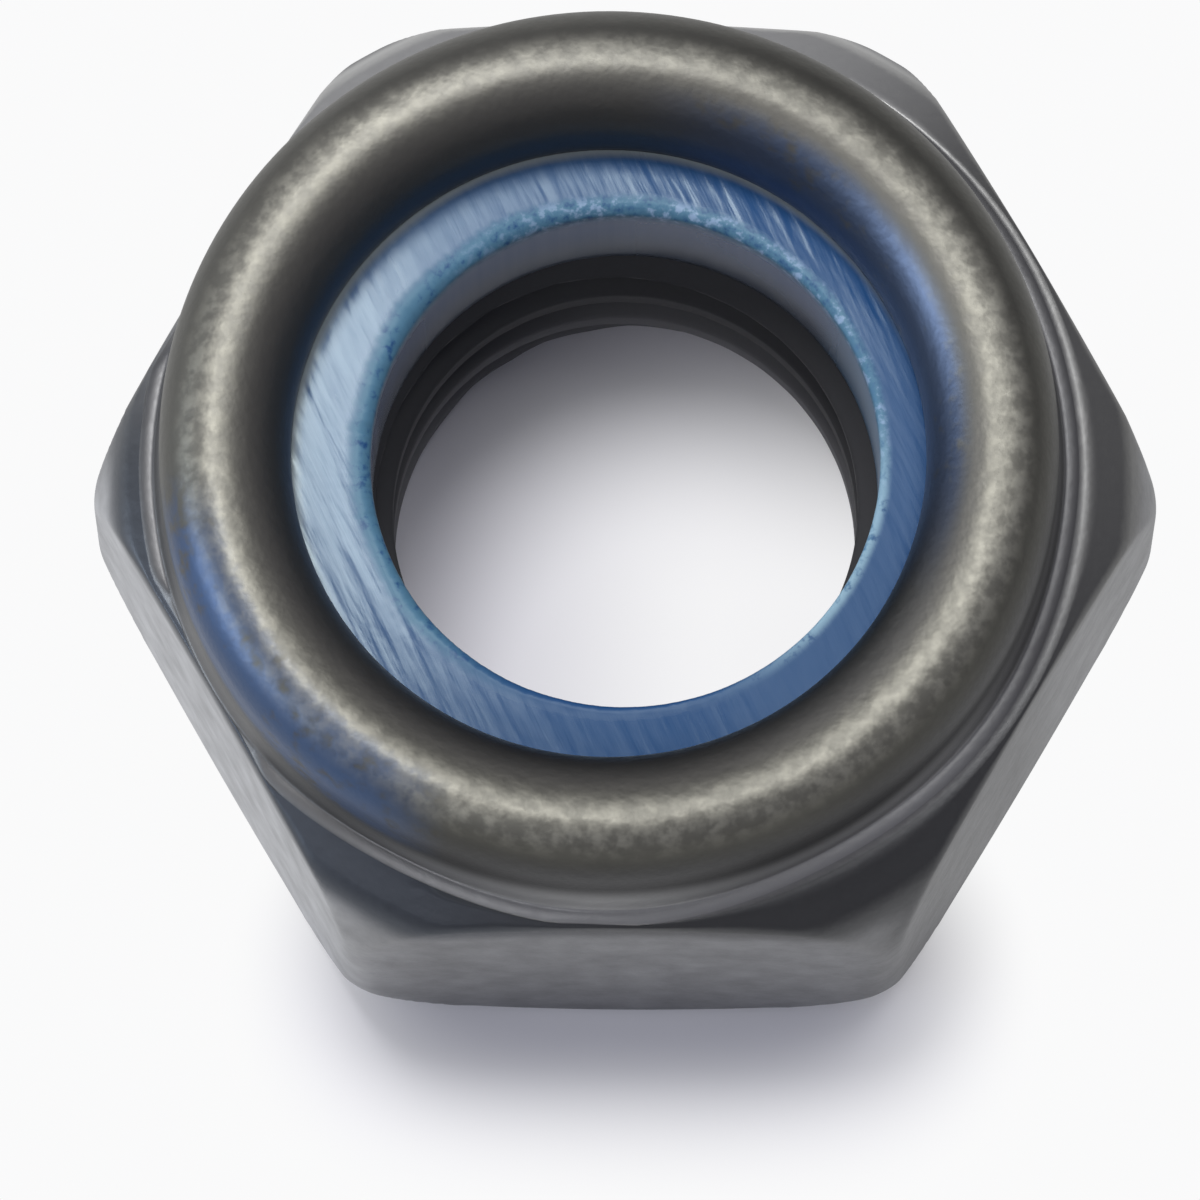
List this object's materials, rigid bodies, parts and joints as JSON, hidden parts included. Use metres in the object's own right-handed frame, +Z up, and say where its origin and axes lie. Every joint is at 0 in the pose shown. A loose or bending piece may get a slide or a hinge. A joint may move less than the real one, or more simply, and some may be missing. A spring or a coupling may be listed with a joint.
{
  "type": "nylon insert lock nut",
  "caption": "Hexagon lock nut in dark steel, with a rolled collar that holds a blue nylon ring against the screw thread.",
  "frame": {"origin": "centre of the bearing face, on the thread axis", "axes": "+Z up the thread axis towards the rolled collar, two flats face +Y and -Y, two corners lie on the X axis"},
  "size_m": [0.0194, 0.017, 0.0097],
  "materials": {
    "oxide_steel": "dark oxide over forged steel, satin, worn bright on the crest of the collar",
    "blue_nylon": "cut nylon, satin, with slanted cutting marks"
  },
  "bodies": {
    "root": {"nut_body": "oxide_steel", "nylon_insert": "blue_nylon"}
  },
  "joints": []
}
